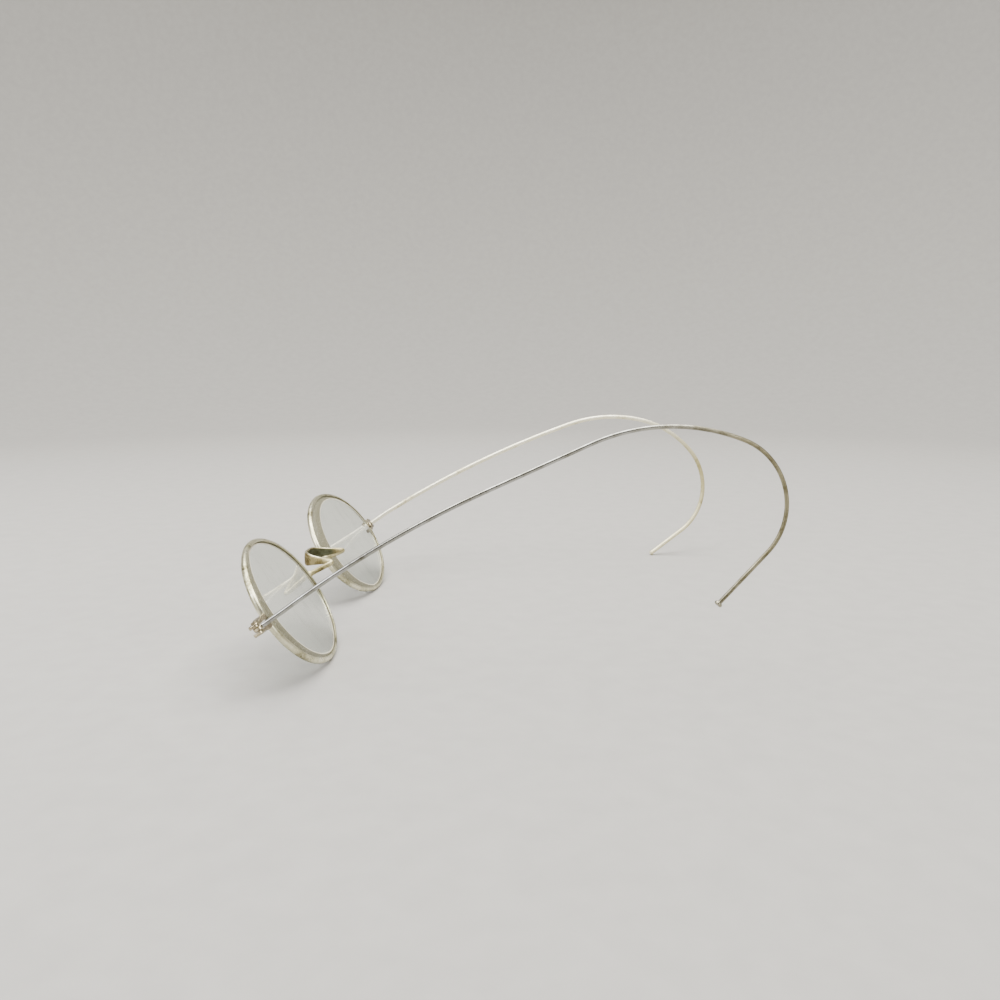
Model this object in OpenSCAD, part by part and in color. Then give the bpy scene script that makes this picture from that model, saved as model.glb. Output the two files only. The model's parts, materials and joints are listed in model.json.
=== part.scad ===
// Oval wire-rim spectacles with a saddle bridge and plain riding-bow temples.
// Every piece is drawn as the spectacles are worn: the lenses face -Y, the temples run
// along +Y, the wearer's left is +X. The whole is then leaned back about X until it
// stands on the two rims and the tip of the right temple, which is the stored pose.
// Lengths are millimetres and angles are degrees.

/* [Rims] */
// Distance between the centres of the two lenses
lens_spacing = 62; // [58:0.5:70]
// Half width of a rim, to its outer edge
rim_half_w = 22.4; // [20:0.1:24]
// Half height of a rim, to its outer edge
rim_half_h = 15.5; // [14:0.1:17]
// Thickness of the eyewire, from the lens edge outwards
rim_wall = 1.0; // [0.8:0.05:1.2]
// Depth of the eyewire, front to back
rim_depth = 1.5; // [1.2:0.05:1.9]
// Angle by which each rim wraps back towards its temple
rim_wrap = 3.9; // [0:0.1:8]
// Depth of the groove that holds the lens
groove_depth = 0.4; // [0.2:0.05:0.5]

/* [Lenses] */
// Thickness of each lens
lens_thick = 1.0; // [0.8:0.1:2]
// Radius of the two spherical faces of each lens
lens_face_r = 600; // [300:10:900]
// Distance by which the middle of the lens stands ahead of its groove
lens_bulge = 0.35; // [0.2:0.05:0.5]
// Play between the lens and its rim
lens_play = 0.05; // [0.02:0.01:0.1]

/* [Bridge] */
// Diameter of the round bridge wire where it meets the rims
bridge_wire_d = 1.2; // [0.9:0.05:1.5]
// Width of the flattened saddle at its crest
saddle_w = 3.4; // [2:0.1:4.5]
// Thickness of the flattened saddle at its crest
saddle_t = 0.75; // [0.5:0.05:1.2]
// Slope of the saddle, as the ridge of a nose slopes
saddle_slope = 54; // [35:1:70]
// Distance from the middle of the spectacles to each heel of the bridge
heel_x = 6.9; // [5.5:0.1:8]
// Distance of the heels behind the lens plane
heel_y = 5.1; // [3:0.1:7]
// Height of the heels above the middle of the rims
heel_z = 0; // [-2:0.1:2]
// Distance from the middle to each shoulder of the saddle
shoulder_x = 3.6; // [2.5:0.1:4.5]
// Distance of the crest ahead of the lens plane
crest_ahead = 1.9; // [0:0.1:4]
// Height of the crest above the middle of the rims
crest_z = 4.4; // [2:0.1:7]
// Length of the bend at each heel, measured from its corner
heel_bend = 1.6; // [1:0.1:2]
// Length of the bend at each shoulder, measured from its corner
shoulder_bend = 3.3; // [1.5:0.1:3.5]
// Height at which the bridge is brazed to the rims
foot_z = 0.9; // [-1:0.1:2]

/* [Joints] */
// Distance from the outer end of a rim to the pivot of its temple
joint_reach = 4.05; // [3.5:0.05:6]
// Distance of the pivots behind the lens plane
pivot_y = 1.2; // [1:0.05:3]
// Height of the left joint above the middle of the rims
left_joint_z = 0.9; // [-2:0.1:2]
// Height of the right joint above the middle of the rims
right_joint_z = -0.9; // [-2:0.1:2]
// Front to back width of a joint block
block_w = 2.2; // [2:0.05:3]
// Height of each of the two blocks of a joint where it is brazed to the rim
block_h = 1.05; // [0.9:0.05:2]
// Height of each block around the screw
block_tip_h = 0.7; // [0.5:0.05:0.9]
// Distance from the pivot to the outer end of a block
block_end = 1.5; // [1.2:0.05:1.8]
// Radius of the two outer corners of a block
block_corner_r = 0.8; // [0.5:0.05:1]
// Diameter of the screw's shank
screw_d = 0.9; // [0.7:0.05:1.1]
// Diameter of the screw's head
screw_head_d = 1.5; // [1.3:0.05:1.8]
// Height of the screw's head
screw_head_h = 0.35; // [0.25:0.05:0.5]
// Width of the slot in the screw's head
screw_slot_w = 0.3; // [0.2:0.05:0.4]
// Radial play of the temple's eye on the screw
pivot_play = 0.05; // [0.02:0.01:0.09]
// Play above and below the temple's wire in its slot between the blocks
slot_play = 0.05; // [0.03:0.01:0.1]

/* [Temples] */
// Outer radius of the flattened eye at the front of a temple
eye_r = 1.05; // [0.9:0.05:1.1]
// Length of the straight stem from the pivot to the wire
stem_len = 5.2; // [4.5:0.1:7]
// Radius of the small set bend behind the stem
set_bend_r = 30; // [20:1:60]

/* [Left temple] */
// Diameter of the left temple's wire
left_wire_d = 0.95; // [0.8:0.05:1.2]
// Angle at which the left temple stands inwards of straight back
left_open = 12; // [0:1:30]
// Angle by which the left shaft rises behind its stem
left_rise = 1.6; // [-4:0.1:4]
// Length of the left shaft
left_shaft_len = 45; // [35:0.5:55]
// Radius of the gentle bow of the left shaft
left_shaft_r = 210; // [150:5:900]
// Length of the straight left shoulder, before the ear
left_shoulder_len = 22.5; // [15:0.5:30]
// Radius of the left bend over the ear
left_bend_r = 42.3; // [30:0.1:50]
// Angle of the left bend over the ear
left_bend = 44.7; // [40:0.1:60]
// Radius of the left hook behind the ear
left_hook_r = 13.9; // [10:0.1:16]
// Angle of the left hook behind the ear
left_hook = 114.2; // [90:0.1:120]
// Length of the straight left tail
left_tail_len = 14.2; // [8:0.1:18]
// Diameter of the flat button on the left tip
left_button_d = 1.7; // [1.4:0.1:2.2]
// Thickness of the flat button on the left tip
left_button_t = 0.8; // [0.6:0.05:1.2]

/* [Right temple] */
// Diameter of the right temple's wire
right_wire_d = 1.3; // [1:0.05:1.5]
// Angle at which the right temple stands inwards of straight back
right_open = -15; // [-20:1:0]
// Angle by which the right shaft rises behind its stem
right_rise = -3.3; // [-5:0.1:4]
// Length of the right shaft
right_shaft_len = 64.5; // [55:0.5:75]
// Radius of the gentle bow of the right shaft
right_shaft_r = 315; // [150:5:900]
// Length of the right shoulder, before the ear
right_shoulder_len = 24.5; // [15:0.5:30]
// Radius of the right shoulder
right_shoulder_r = 45.5; // [40:0.5:80]
// Radius of the right bend over the ear
right_bend_r = 30.8; // [24:0.1:35]
// Angle of the right bend over the ear
right_bend = 38; // [32:1:60]
// Radius of the right hook behind the ear
right_hook_r = 17.8; // [15:0.1:22]
// Angle of the right hook behind the ear
right_hook = 95.5; // [80:0.5:100]
// Length of the straight right tail
right_tail_len = 12.4; // [6:0.1:16]
// Diameter of the ball on the right tip
right_ball_d = 1.7; // [1.5:0.1:2.2]

/* [Hidden] */

arc_fn = 96;
wire_fn = 32;
LEFT = 1;
RIGHT = -1;

// Oval outline: eight tangent arcs that follow an ellipse. Each arc is kept as
// [centre x, centre y, radius, first angle, sweep], and an outline that lies further in
// has the same centres and smaller radii.
end_arc = 36;      // the end arcs reach this angle on either side of the long axis
crown_arc = 66;    // the crown arcs begin at this angle
function ellipse_radius(angle) =
    pow(rim_half_w * rim_half_h, 2)
    / pow(pow(rim_half_w * cos(angle), 2) + pow(rim_half_h * sin(angle), 2), 1.5);
shoulder_r = ellipse_radius((end_arc + crown_arc) / 2);
// The end and crown radii are what closes the outline at the given half width and height
oval_a = cos(end_arc) - 1;
oval_b = -cos(crown_arc);
oval_c = sin(end_arc);
oval_d = 1 - sin(crown_arc);
oval_e = -rim_half_w - shoulder_r * (cos(crown_arc) - cos(end_arc));
oval_f = rim_half_h - shoulder_r * (sin(crown_arc) - sin(end_arc));
oval_det = oval_a * oval_d - oval_b * oval_c;
end_r = (oval_e * oval_d - oval_b * oval_f) / oval_det;
crown_r = (oval_a * oval_f - oval_e * oval_c) / oval_det;
end_x = rim_half_w - end_r;
shoulder_cx = end_x + (end_r - shoulder_r) * cos(end_arc);
shoulder_cy = (end_r - shoulder_r) * sin(end_arc);
crown_y = rim_half_h - crown_r;
oval = [
    [end_x, 0, end_r, -end_arc, 2 * end_arc],
    [shoulder_cx, shoulder_cy, shoulder_r, end_arc, crown_arc - end_arc],
    [0, crown_y, crown_r, crown_arc, 180 - 2 * crown_arc],
    [-shoulder_cx, shoulder_cy, shoulder_r, 180 - crown_arc, crown_arc - end_arc],
    [-end_x, 0, end_r, 180 - end_arc, 2 * end_arc],
    [-shoulder_cx, -shoulder_cy, shoulder_r, 180 + end_arc, crown_arc - end_arc],
    [0, -crown_y, crown_r, 180 + crown_arc, 180 - 2 * crown_arc],
    [shoulder_cx, -shoulder_cy, shoulder_r, 360 - crown_arc, crown_arc - end_arc]];
outer_end = oval[0];
inner_end = oval[4];
arc_lap = 0.1;
arc_inset = 0.005;

// Joints
pivot_x = lens_spacing / 2 + rim_half_w * cos(rim_wrap) + joint_reach;
rim_end_y = rim_half_w * sin(rim_wrap);
block_seat = 0.6;                      // how far a block reaches in over the rim's wire
block_back = 0.85;                     // behind the pivot
block_front = block_back - block_w;
left_slot = left_wire_d + 2 * slot_play;
right_slot = right_wire_d + 2 * slot_play;
eye_flat = 0.15;                       // the eye is hammered this much thinner than the wire

// Temple wires: runs of [length, radius], where a positive radius bends down, a negative
// one bends up and 0 is straight. The path starts at the end of the stem.
function arc_len(r, angle) = r * angle * PI / 180;
function temple_runs(rise, shaft, shaft_r, shoulder, shoulder_r, bend_r, bend, hook_r, hook, tail) = [
    [arc_len(set_bend_r, abs(rise)), rise > 0 ? -set_bend_r : set_bend_r],
    [shaft, shaft_r],
    [shoulder, shoulder_r],
    [arc_len(bend_r, bend), bend_r],
    [arc_len(hook_r, hook), hook_r],
    [tail, 0]];
left_runs = temple_runs(left_rise, left_shaft_len, left_shaft_r, left_shoulder_len,
    0, left_bend_r, left_bend, left_hook_r, left_hook, left_tail_len);
right_runs = temple_runs(right_rise, right_shaft_len, right_shaft_r, right_shoulder_len,
    right_shoulder_r, right_bend_r, right_bend, right_hook_r, right_hook, right_tail_len);

// Where a run that starts at p = [along, up, heading] has got to after a length
function along_run(p, len, r) =
    r == 0 ? [p[0] + len * cos(p[2]), p[1] + len * sin(p[2]), p[2]]
    : let (turned = p[2] - len / r * 180 / PI)
      [p[0] + r * (sin(p[2]) - sin(turned)), p[1] - r * (cos(p[2]) - cos(turned)), turned];
// The start of each run, and last the end of the wire
function run_starts(runs, i = 0, p = [stem_len, 0, 0]) =
    i == len(runs) ? [p]
    : concat([p], run_starts(runs, i + 1, along_run(p, runs[i][0], runs[i][1])));
left_starts = run_starts(left_runs);
right_starts = run_starts(right_runs);
left_tip = left_starts[len(left_runs)];
right_tip = right_starts[len(right_runs)];

// The pose: the lean at which the right ball and the rims touch one plane
right_tip_y = pivot_y + right_tip[0] * cos(right_open);
right_tip_z = right_joint_z + right_tip[1];
rim_tube_r = rim_depth / 2;
rim_low_z = rim_tube_r - rim_half_h;
lean = asin((right_ball_d / 2 - rim_tube_r) / norm([right_tip_y, right_tip_z - rim_low_z]))
    - atan2(right_tip_z - rim_low_z, right_tip_y);
crown_tube_r = crown_r - rim_tube_r;
low_z = -crown_y * cos(lean) - rim_tube_r
    - crown_tube_r * norm([sin(rim_wrap) * sin(lean), cos(lean)]);
front_y = -crown_y * sin(lean) - rim_tube_r
    - crown_tube_r * norm([sin(rim_wrap) * cos(lean), sin(lean)]);
// Reach of the temples, from points along their wires
reach_steps = 60;
function wire_points(starts, runs) = [for (i = [0:len(runs) - 1], k = [0:reach_steps])
    along_run(starts[i], runs[i][0] * k / reach_steps, runs[i][1])];
function back_of(points, open, joint_z) = max([for (p = points)
    (pivot_y + p[0] * cos(open)) * cos(lean) - (joint_z + p[1]) * sin(lean)]);
left_points = wire_points(left_starts, left_runs);
right_points = wire_points(right_starts, right_runs);
back_y = max(back_of(left_points, left_open, left_joint_z) + left_wire_d / 2,
             back_of(right_points, right_open, right_joint_z) + right_wire_d / 2);
right_reach = max([for (p = right_points) p[0]]) * sin(-right_open) + right_wire_d / 2;
left_x = pivot_x + block_end;
right_x = -pivot_x - max(right_reach, block_end);

// From the worn position to the stored pose, with the origin on the surface below the
// middle of the whole
module posed() {
    translate([-(left_x + right_x) / 2, -(front_y + back_y) / 2, -low_z])
        rotate([lean, 0, 0]) children();
}

// The wearer's left as drawn, the right as its mirror image
module on_side(side) {
    if (side == LEFT) children();
    else mirror([1, 0, 0]) children();
}

// A lens lying flat, front up, set upright in its place in front of the left eye
module at_eye() {
    translate([lens_spacing / 2, 0, 0]) rotate([0, 0, rim_wrap]) rotate([90, 0, 0]) children();
}

// A section carried along one arc of the oval and a little past both its ends, its own
// origin on the outer edge of the rim
module along_arc(arc, lap = 0) {
    lead = lap / arc[2] * 180 / PI;
    translate([arc[0], arc[1], 0]) rotate([0, 0, arc[3] - lead])
        rotate_extrude(angle = arc[4] + 2 * lead, $fn = 4 * arc_fn) translate([arc[2], 0]) children();
}

// Round wire of one end of a rim before it is grooved
module rim_tube(arc) {
    along_arc(arc) translate([-rim_tube_r, 0]) circle(r = rim_tube_r, $fn = wire_fn);
}

// Section of the eyewire, all of it drawn in by inset
module rim_section(inset) {
    difference() {
        intersection() {
            translate([-rim_tube_r, 0]) circle(r = rim_tube_r - inset, $fn = wire_fn);
            translate([inset - rim_wall, -rim_depth]) square([2 * rim_wall, 2 * rim_depth]);
        }
        polygon([[-rim_wall - groove_depth, 2 * groove_depth + 2 * inset],
                 [groove_depth - rim_wall + 2 * inset, 0],
                 [-rim_wall - groove_depth, -2 * groove_depth - 2 * inset]]);
    }
}

// Eyewire: round outside, flat inside with a groove for the lens, and cut open at the joint.
// Every second arc is a hair thinner and laps into its neighbours.
module rim(side, joint_z, slot) {
    color("lightyellow") on_side(side) difference() {
        at_eye() union() for (i = [0:len(oval) - 1])
            along_arc(oval[i], i % 2 * arc_lap) rim_section(i % 2 * arc_inset);
        translate([pivot_x - joint_reach - 2 * rim_wall, pivot_y - 2 * block_w, joint_z - slot / 2])
            cube([joint_reach, 4 * block_w, slot]);
    }
}

// Lens: a blank edged to the oval with a bevel for the groove, and ground to two spheres.
// The spheres lie on their sides, so that neither has a pole on the lens.
lens_band = 4;     // the turned edge reaches this far in from the rim
lens_core = 2.5;   // and the flat core this far out
blank_h = 6;
module lens_section(inset) {
    edge = rim_wall + lens_play + inset;
    apex = edge - groove_depth;
    half_h = blank_h / 2 - 50 * inset;
    polygon([[inset - lens_band, -half_h], [-edge, -half_h], [-edge, -groove_depth], [-apex, 0],
             [-edge, groove_depth], [-edge, half_h], [inset - lens_band, half_h]]);
}
module lens_sphere(top) {
    translate([0, 0, top - lens_face_r]) rotate([90, 0, 0]) sphere(r = lens_face_r, $fn = 360);
}
module lens(side) {
    front = lens_thick / 2 + lens_bulge;
    core_h = 0.8 * blank_h;
    color("lightcyan", 0.5) on_side(side) at_eye() difference() {
        intersection() {
            union() {
                for (i = [0:len(oval) - 1])
                    along_arc(oval[i], i % 2 * arc_lap) lens_section(i % 2 * arc_inset);
                translate([0, 0, -core_h / 2]) linear_extrude(core_h)
                    polygon([for (a = oval, k = [0, 0.5])
                        [a[0], a[1]] + (a[2] - lens_core) * [cos(a[3] + k * a[4]), sin(a[3] + k * a[4])]]);
            }
            lens_sphere(front);
        }
        lens_sphere(front - lens_thick);
    }
}

// Saddle bridge: round wire runs back from each rim to a heel, turns up and forwards, and
// widens into a flat saddle over the nose. The path is a line with its corners rounded by
// quadratic curves, and the section is an ellipse carried along it.
foot = [lens_spacing / 2 - (rim_half_w - rim_tube_r) * cos(rim_wrap) - 0.4, 0.5 - rim_end_y, foot_z];
heel = [heel_x, heel_y, heel_z];
shoulder = [shoulder_x, -crest_ahead, crest_z];
function unit(v) = v / norm(v);
function curve(a, b, c, t) = (1 - t) * (1 - t) * a + 2 * t * (1 - t) * b + t * t * c;
bend_steps = 9;
crest_steps = 12;
function half_bridge() = let (
        up = unit(shoulder - heel),
        heel_in = heel + unit(foot - heel) * heel_bend,
        heel_out = heel + up * heel_bend,
        crest_in = shoulder - up * shoulder_bend,
        crest = shoulder - [shoulder_bend, 0, 0])
    concat([for (k = [0:2]) foot + (heel_in - foot) * k / 3],
           [for (k = [0:bend_steps]) curve(heel_in, heel, heel_out, k / bend_steps)],
           [for (k = [0:crest_steps]) curve(crest_in, shoulder, crest, k / crest_steps)]);
function reversed(list) = [for (i = [len(list) - 1:-1:0]) list[i]];
function mirrored(p) = [-p[0], p[1], p[2]];
bridge_half = half_bridge();
bridge_path = concat(bridge_half, [for (p = reversed(bridge_half)) mirrored(p)]);
bridge_rings = len(bridge_path);
bridge_sides = 20;
saddle_up = [0, cos(saddle_slope), sin(saddle_slope)];
function smooth(t) = let (u = min(max(t, 0), 1)) u * u * (3 - 2 * u);
// 0 in the round shanks and 1 in the flat crest, from the distance to the middle
function flatness(p) = smooth((heel_x - abs(p[0])) / (heel_x - shoulder_x) / 1.25);
function bridge_ring(i) = let (
        p = bridge_path[i],
        t = unit(bridge_path[min(i + 1, bridge_rings - 1)] - bridge_path[max(i - 1, 0)]),
        v = unit(saddle_up - t * (saddle_up * t)),
        n = cross(t, v),
        f = abs(p[0]) > heel_x - 0.5 ? 0 : flatness(p),
        w = bridge_wire_d + (saddle_w - bridge_wire_d) * f,
        h = bridge_wire_d + (saddle_t - bridge_wire_d) * f)
    [for (k = [0:bridge_sides - 1]) let (a = 360 * k / bridge_sides)
        p + v * (cos(a) * w / 2) + n * (sin(a) * h / 2)];
module bridge() {
    points = [for (i = [0:bridge_rings - 1]) each bridge_ring(i)];
    last = (bridge_rings - 1) * bridge_sides;
    walls = [for (i = [0:bridge_rings - 2], k = [0:bridge_sides - 1]) let (
            a = i * bridge_sides + k,
            b = i * bridge_sides + (k + 1) % bridge_sides)
        each [[a, b, b + bridge_sides], [a, b + bridge_sides, a + bridge_sides]]];
    color("wheat") difference() {
        polyhedron(points, concat(walls, [reversed([for (k = [0:bridge_sides - 1]) k])],
            [[for (k = [0:bridge_sides - 1]) last + k]]));
        for (side = [LEFT, RIGHT]) on_side(side) at_eye() rim_tube(inner_end);
    }
}

// Plan of a joint block: a bar from the rim with two rounded outer corners
module block_plan(length) {
    corner_x = block_end - block_corner_r;
    translate([-length, block_front]) square([length + corner_x, block_w]);
    translate([-length, block_front + block_corner_r])
        square([length + block_end, block_w - 2 * block_corner_r]);
    for (y = [block_front + block_corner_r, block_back - block_corner_r])
        translate([corner_x, y]) circle(r = block_corner_r, $fn = arc_fn);
}

// Upper (up = 1) or lower (up = -1) block of a joint, brazed over the cut end of the rim:
// thick there, thinner and flat around the screw
module joint_block(side, joint_z, slot, up) {
    length = joint_reach + block_seat;
    flat_x = -screw_head_d / 2 - 0.2;
    color("ivory") on_side(side) difference() {
        translate([pivot_x, pivot_y, joint_z]) mirror([0, 0, up > 0 ? 0 : 1])
            intersection() {
                translate([0, 0, slot / 2]) linear_extrude(block_h) block_plan(length);
                translate([0, block_w * 2, 0]) rotate([90, 0, 0]) linear_extrude(block_w * 4)
                    polygon([[-length, 0], [block_end, 0], [block_end, slot / 2 + block_tip_h],
                             [flat_x, slot / 2 + block_tip_h],
                             [1.8 - length, slot / 2 + block_h], [-length, slot / 2 + block_h]]);
            }
        at_eye() rim_tube(outer_end);
        translate([pivot_x, pivot_y, joint_z - slot - block_h])
            cylinder(d = screw_d + 2 * pivot_play, h = 2 * (slot + block_h), $fn = arc_fn);
    }
}

// Screw that closes the rim and carries the temple, its slotted head on the upper block
module hinge_screw(side, joint_z, slot) {
    reach = slot / 2 + block_tip_h;
    color("khaki") on_side(side) translate([pivot_x, pivot_y, joint_z]) difference() {
        union() {
            translate([0, 0, -reach]) cylinder(d = screw_d, h = 2 * reach + screw_head_h / 2, $fn = arc_fn);
            translate([0, 0, reach]) cylinder(d = screw_head_d, h = screw_head_h, $fn = arc_fn);
        }
        translate([-screw_head_d, -screw_slot_w / 2, reach + screw_head_h / 2])
            cube([2 * screw_head_d, screw_slot_w, screw_head_h]);
    }
}

// A temple's own plane: along the wire is X, up is Y, out of the plane is Z
module in_temple(side, joint_z, open) {
    on_side(side) translate([pivot_x, pivot_y, joint_z]) rotate([0, 0, 90 + open])
        rotate([90, 0, 0]) children();
}

// Eye of a temple: the hammered end of the stem, bored for the screw
module temple_eye(side, joint_z, open, wire_d) {
    color("ivory") in_temple(side, joint_z, open) difference() {
        union() {
            rotate([90, 0, 0]) cylinder(r = eye_r, h = wire_d - eye_flat, center = true, $fn = arc_fn);
            translate([eye_r / 2, 0, 0]) rotate([0, 90, 0])
                cylinder(d = wire_d, h = stem_len - eye_r / 2, $fn = wire_fn);
        }
        rotate([90, 0, 0]) cylinder(d = screw_d + 2 * pivot_play, h = 2 * wire_d, center = true, $fn = arc_fn);
    }
}

// Temple wire, drawn down a little towards its tip: each run is thinner than the one before
// by wire_step and starts wire_lap inside it
wire_step = 0.01;
wire_lap = 0.15;
module temple_wire(side, joint_z, open, wire_d, runs, starts, paint) {
    color(paint) in_temple(side, joint_z, open) union() for (i = [0:len(runs) - 1]) {
        p = starts[i];
        r = runs[i][1];
        d = wire_d - i * wire_step;
        lap = i == 0 ? 0 : wire_lap;
        translate([p[0], p[1], 0]) rotate([0, 0, p[2]])
            if (r == 0) translate([-lap, 0, 0]) rotate([0, 90, 0])
                cylinder(d = d, h = runs[i][0] + lap, $fn = wire_fn);
            else {
                turn = runs[i][0] / abs(r) * 180 / PI;
                lead = lap / abs(r) * 180 / PI;
                translate([0, -r, 0]) rotate([0, 0, r > 0 ? 90 - turn : -90 - lead])
                    rotate_extrude(angle = turn + lead, $fn = 4 * arc_fn) translate([abs(r), 0])
                        circle(d = d, $fn = wire_fn);
            }
    }
}

// Flat button with a rounded edge on the end of the left temple
module temple_button(side, joint_z, open, tip) {
    color("wheat") in_temple(side, joint_z, open) translate([tip[0], tip[1], 0]) rotate([0, 90, tip[2]])
        rotate_extrude($fn = arc_fn) union() {
            square([left_button_d / 2 - left_button_t / 2, left_button_t]);
            translate([left_button_d / 2 - left_button_t / 2, left_button_t / 2])
                intersection() {
                    circle(d = left_button_t, $fn = wire_fn);
                    translate([0, -left_button_t]) square(2 * left_button_t);
                }
        }
}

// Ball on the end of the right temple, flat where the wire enters it
module temple_ball(side, joint_z, open, tip) {
    color("wheat") in_temple(side, joint_z, open) translate([tip[0], tip[1], 0]) rotate([0, 0, tip[2]])
        intersection() {
            sphere(d = right_ball_d, $fn = arc_fn);
            translate([0, -right_ball_d, -right_ball_d]) cube(2 * right_ball_d);
        }
}

posed() rim(LEFT, left_joint_z, left_slot);  // left_rim
posed() rim(RIGHT, right_joint_z, right_slot);  // right_rim
posed() lens(LEFT);  // left_lens
posed() lens(RIGHT);  // right_lens
posed() bridge();
posed() joint_block(LEFT, left_joint_z, left_slot, 1);  // left_joint_upper
posed() joint_block(LEFT, left_joint_z, left_slot, -1);  // left_joint_lower
posed() joint_block(RIGHT, right_joint_z, right_slot, 1);  // right_joint_upper
posed() joint_block(RIGHT, right_joint_z, right_slot, -1);  // right_joint_lower
posed() hinge_screw(LEFT, left_joint_z, left_slot);  // left_hinge_screw
posed() hinge_screw(RIGHT, right_joint_z, right_slot);  // right_hinge_screw
posed() temple_eye(LEFT, left_joint_z, left_open, left_wire_d);  // left_temple_eye
posed() temple_wire(LEFT, left_joint_z, left_open, left_wire_d, left_runs, left_starts, "silver");  // left_temple_wire
posed() temple_button(LEFT, left_joint_z, left_open, left_tip);  // left_temple_button
posed() temple_eye(RIGHT, right_joint_z, right_open, right_wire_d);  // right_temple_eye
posed() temple_wire(RIGHT, right_joint_z, right_open, right_wire_d, right_runs, right_starts, "cornsilk");  // right_temple_wire
posed() temple_ball(RIGHT, right_joint_z, right_open, right_tip);  // right_temple_ball
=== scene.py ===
# %% [markdown]
# # Dressing a pair of wire-rim spectacles
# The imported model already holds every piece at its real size: two rims, two lenses, a saddle
# bridge, two joints and two temples. What it lacks is what the eye judges by: round wire that
# is really smooth, glass that bends light, and metal that has been handled for a hundred
# years. The cells below make these one at a time, and the notes between them say why each is
# made the way it is.

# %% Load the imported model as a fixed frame
import json
import math

import bpy
import numpy as np
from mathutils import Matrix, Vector


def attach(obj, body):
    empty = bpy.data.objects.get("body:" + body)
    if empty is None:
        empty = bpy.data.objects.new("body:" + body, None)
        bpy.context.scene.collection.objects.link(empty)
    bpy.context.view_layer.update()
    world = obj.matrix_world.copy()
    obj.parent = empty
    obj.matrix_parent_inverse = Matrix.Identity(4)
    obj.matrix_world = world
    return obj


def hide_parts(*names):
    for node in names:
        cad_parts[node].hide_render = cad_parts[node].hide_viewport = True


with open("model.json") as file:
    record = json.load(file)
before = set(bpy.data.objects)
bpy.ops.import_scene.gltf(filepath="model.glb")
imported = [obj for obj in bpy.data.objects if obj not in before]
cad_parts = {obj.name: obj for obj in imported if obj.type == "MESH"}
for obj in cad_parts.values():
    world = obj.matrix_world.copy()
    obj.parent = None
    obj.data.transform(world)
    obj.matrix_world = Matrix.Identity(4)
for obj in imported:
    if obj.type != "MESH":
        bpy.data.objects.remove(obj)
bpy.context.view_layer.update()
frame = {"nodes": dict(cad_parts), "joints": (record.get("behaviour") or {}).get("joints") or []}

MM = 0.001                     # sizes below are in millimetres unless a comment says metres

# %% [markdown]
# ## The spectacles as worn
# The pair stands on the two rims and one temple tip, so everything in it leans back. It is far
# easier to think of it as worn: x to the wearer's left, y back towards the ears, z up, in
# millimetres. The two hinges tell us where that frame is, because their pins are upright when
# the spectacles are worn, so no angle has to be typed in.

# %% Find the worn frame from the hinges
hinges = {joint["name"]: joint for joint in frame["joints"]}
left_pivot = np.array(hinges["left_temple_fold"]["pos_m"]) / MM
right_pivot = np.array(hinges["right_temple_fold"]["pos_m"]) / MM
pivot_y = 1.2                  # the pivots stand this far behind the plane of the lenses
leftward = np.array([1.0, 0.0, 0.0])
upward = np.array(hinges["left_temple_fold"]["axis"])
backward = np.cross(upward, leftward)
middle = (left_pivot + right_pivot) / 2 - backward * pivot_y
pivot_x = (left_pivot - middle) @ leftward
joint_z = {"left": (left_pivot - middle) @ upward, "right": (right_pivot - middle) @ upward}
mirror = {"left": 1.0, "right": -1.0}


def placed(worn):
    """Points in the worn frame, mm, to points in the model's frame, metres:
    middle + x leftward + y backward + z upward."""
    return (middle + worn @ np.array([leftward, backward, upward])) * MM


print("lean, degrees:", round(math.degrees(math.atan2(-upward[1], upward[2])), 2))

# %% [markdown]
# ## One skin for every piece
# Wire, glass edges and blocks are all the same thing to a modeller: a closed section carried
# along a path. If each section is one row of an array, the whole surface is one block of
# numbers, and the faces follow from their places in it. The same function also lays down a
# UV map in real millimetres, length along the path by length round the section, so that a
# drawn-wire grain can follow the wire round every bend.

# %% Skin a stack of sections
edge_angle = math.radians(38)  # faces that meet at more than this show an edge
hub_before = 0.5               # in the UV map, an end fan's hub lies this far before its rim


def travelled_along(path):
    """Distance covered on reaching each point of a path."""
    strides = np.linalg.norm(np.diff(path, axis=0), axis=1)
    return np.concatenate([[0.0], np.cumsum(strides)])


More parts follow.
